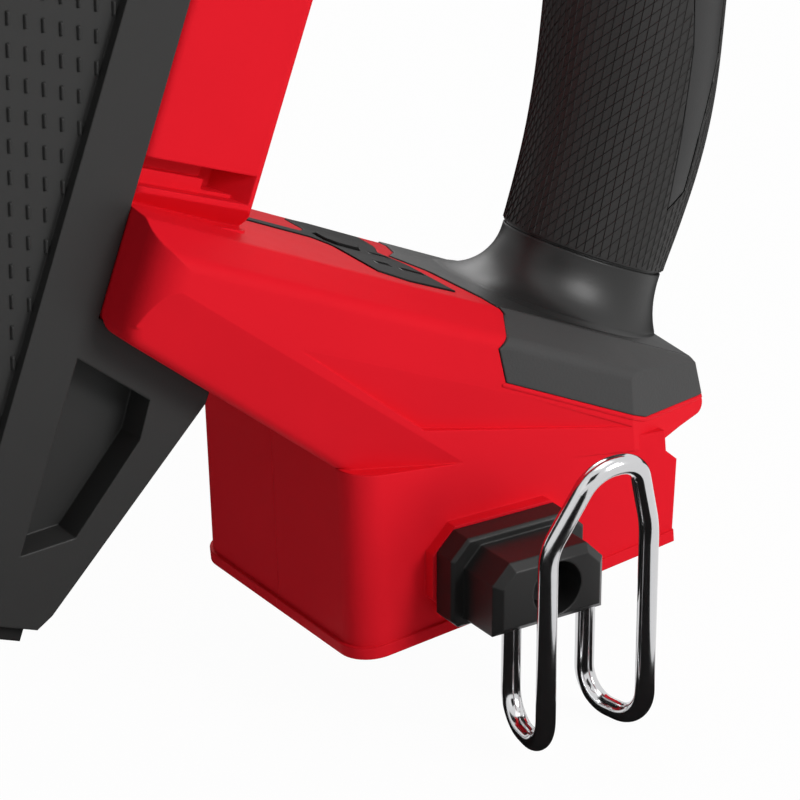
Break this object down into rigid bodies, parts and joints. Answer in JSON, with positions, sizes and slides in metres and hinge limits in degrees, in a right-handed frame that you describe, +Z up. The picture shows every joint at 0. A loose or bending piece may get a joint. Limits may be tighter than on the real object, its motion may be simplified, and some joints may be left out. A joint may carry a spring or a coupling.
{
  "type": "cordless finish nailer",
  "caption": "Bare cordless finish nailer: faceted battery foot, rubber grip in a closed loop, motor strut, nail magazine, gas-spring drive barrel, nose and bent-wire belt hook.",
  "frame": {"origin": "centre of the battery foot's rim, on the plane the battery slides under", "axes": "+Z up out of the foot, -X towards the nose, -Y the belt hook's side"},
  "size_m": [0.3594, 0.1318, 0.3346],
  "materials": {
    "red_case": "fine satin moulded",
    "black_case": "satin moulded",
    "grip_rubber": "fine raised grid",
    "grey_trim": "fine textured",
    "panel": "satin",
    "window": "glossy",
    "chrome": "bright polished",
    "dark_steel": "blackened",
    "steel": "ground",
    "aluminium": "machined",
    "brass": "plain",
    "black_rubber": "plain",
    "lens": "clear",
    "green_board": "resin board",
    "fan_plastic": "moulded"
  },
  "bodies": {
    "tool": {"housing_left": "red_case", "housing_right": "red_case", "handle_collar": "black_case", "grip_sleeve": "grip_rubber", "grip_strip_left": "grey_trim", "grip_strip_right": "grey_trim", "guard_plate_left": "grey_trim", "guard_plate_right": "grey_trim", "control_panel": "panel", "panel_windows": "window", "hook_block": "black_case", "hook_wire": "chrome", "hook_screw": "dark_steel", "hook_inserts": "brass", "case_screws": "dark_steel", "rear_cap": "black_case", "cap_screws": "dark_steel", "work_light": "lens", "cylinder": "aluminium", "bumper": "black_rubber", "cylinder_head": "aluminium", "fill_valve": "brass", "gear_case": "black_case", "motor_bearings": "steel", "carrier_bearing": "steel", "motor_stator": "steel", "nose_frame": "steel", "nose_screws": "dark_steel", "door_pin": "dark_steel", "trip_spring": "dark_steel", "magazine_cover": "black_case", "magazine_rail": "aluminium", "magazine_end_cap": "black_case", "trigger_pin": "dark_steel", "trigger_spring": "dark_steel", "trigger_switch": "panel", "rail_plate": "black_case", "terminal_block": "black_case", "terminal_blades": "brass", "control_board": "green_board"},
    "driver": {"piston": "aluminium", "piston_seal": "black_rubber", "driver_blade": "steel"},
    "lifter": {"lifter_wheel": "steel", "gear_carrier": "steel"},
    "rotor": {"motor_rotor": "steel", "motor_fan": "fan_plastic"},
    "planet_1": {"planet_gear_1": "steel"},
    "planet_2": {"planet_gear_2": "steel"},
    "planet_3": {"planet_gear_3": "steel"},
    "door": {"nose_door": "black_case"},
    "latch": {"door_latch": "dark_steel"},
    "trip": {"contact_trip": "steel", "no_mar_tip": "black_case"},
    "depth": {"depth_wheel": "black_case"},
    "feed": {"pusher": "steel", "pusher_spring": "dark_steel"},
    "end_latch": {"magazine_latch": "black_case"},
    "trigger": {"trigger": "black_case"},
    "button": {"mode_button": "black_case"}
  },
  "joints": [
    {"name": "driver_slide", "type": "slide", "parent": "tool", "child": "driver", "axis": [-0.9026, 0, 0.4305], "range_m": [0, 0.07]},
    {"name": "lifter_spin", "type": "hinge", "parent": "tool", "child": "lifter", "pos_m": [-0.0246, 0, 0.22009], "axis": [-0.4305, 0, -0.9026], "range_deg": [0, 335]},
    {"name": "rotor_spin", "type": "hinge", "parent": "tool", "child": "rotor", "pos_m": [-0.05302, 0, 0.16051], "axis": [-0.4305, 0, -0.9026], "range_deg": [0, 1171]},
    {"name": "planet_1_spin", "type": "hinge", "parent": "lifter", "child": "planet_1", "pos_m": [-0.03037, 0, 0.18849], "axis": [-0.4305, 0, -0.9026], "range_deg": [-1115, 0]},
    {"name": "planet_2_spin", "type": "hinge", "parent": "lifter", "child": "planet_2", "pos_m": [-0.04174, 0.00728, 0.19391], "axis": [-0.4305, 0, -0.9026], "range_deg": [-1115, 0]},
    {"name": "planet_3_spin", "type": "hinge", "parent": "lifter", "child": "planet_3", "pos_m": [-0.04174, -0.00728, 0.19391], "axis": [-0.4305, 0, -0.9026], "range_deg": [-1115, 0]},
    {"name": "door_hinge", "type": "hinge", "parent": "tool", "child": "door", "pos_m": [-0.03277, 0, 0.28414], "axis": [0, 1, 0], "range_deg": [0, 75]},
    {"name": "door_latch_flip", "type": "hinge", "parent": "door", "child": "latch", "pos_m": [-0.06857, 0, 0.30432], "axis": [0, -1, 0], "range_deg": [0, 60]},
    {"name": "trip_slide", "type": "slide", "parent": "tool", "child": "trip", "axis": [0.9026, 0, -0.4305], "range_m": [0, 0.0075], "stiffness_N_per_m": 500, "springref_m": -0.008},
    {"name": "depth_wheel_spin", "type": "hinge", "parent": "tool", "child": "depth", "pos_m": [-0.01772, -0.027, 0.26112], "axis": [0.9026, 0, -0.4305], "continuous": true},
    {"name": "pusher_slide", "type": "slide", "parent": "tool", "child": "feed", "axis": [-0.4305, 0, -0.9026], "range_m": [0, 0.15], "stiffness_N_per_m": 30, "springref_m": -0.2},
    {"name": "end_latch_flip", "type": "hinge", "parent": "tool", "child": "end_latch", "pos_m": [-0.14775, 0, 0.03286], "axis": [0, -1, 0], "range_deg": [0, 40]},
    {"name": "trigger_pull", "type": "hinge", "parent": "tool", "child": "trigger", "pos_m": [0.06574, 0, 0.17478], "axis": [0, -1, 0], "range_deg": [0, 9], "stiffness_Nm_per_rad": 0.5, "springref_deg": -11.46},
    {"name": "button_press", "type": "slide", "parent": "tool", "child": "button", "axis": [-0.4917, 0, -0.8708], "range_m": [0, 0.0012], "stiffness_N_per_m": 600, "springref_m": -0.0012}
  ],
  "couplings": [
    {"joint": "lifter_spin", "follows": "driver_slide", "rad_per_m": 83.333},
    {"joint": "rotor_spin", "follows": "driver_slide", "rad_per_m": 291.67},
    {"joint": "planet_1_spin", "follows": "driver_slide", "rad_per_m": -277.78},
    {"joint": "planet_2_spin", "follows": "driver_slide", "rad_per_m": -277.78},
    {"joint": "planet_3_spin", "follows": "driver_slide", "rad_per_m": -277.78}
  ]
}
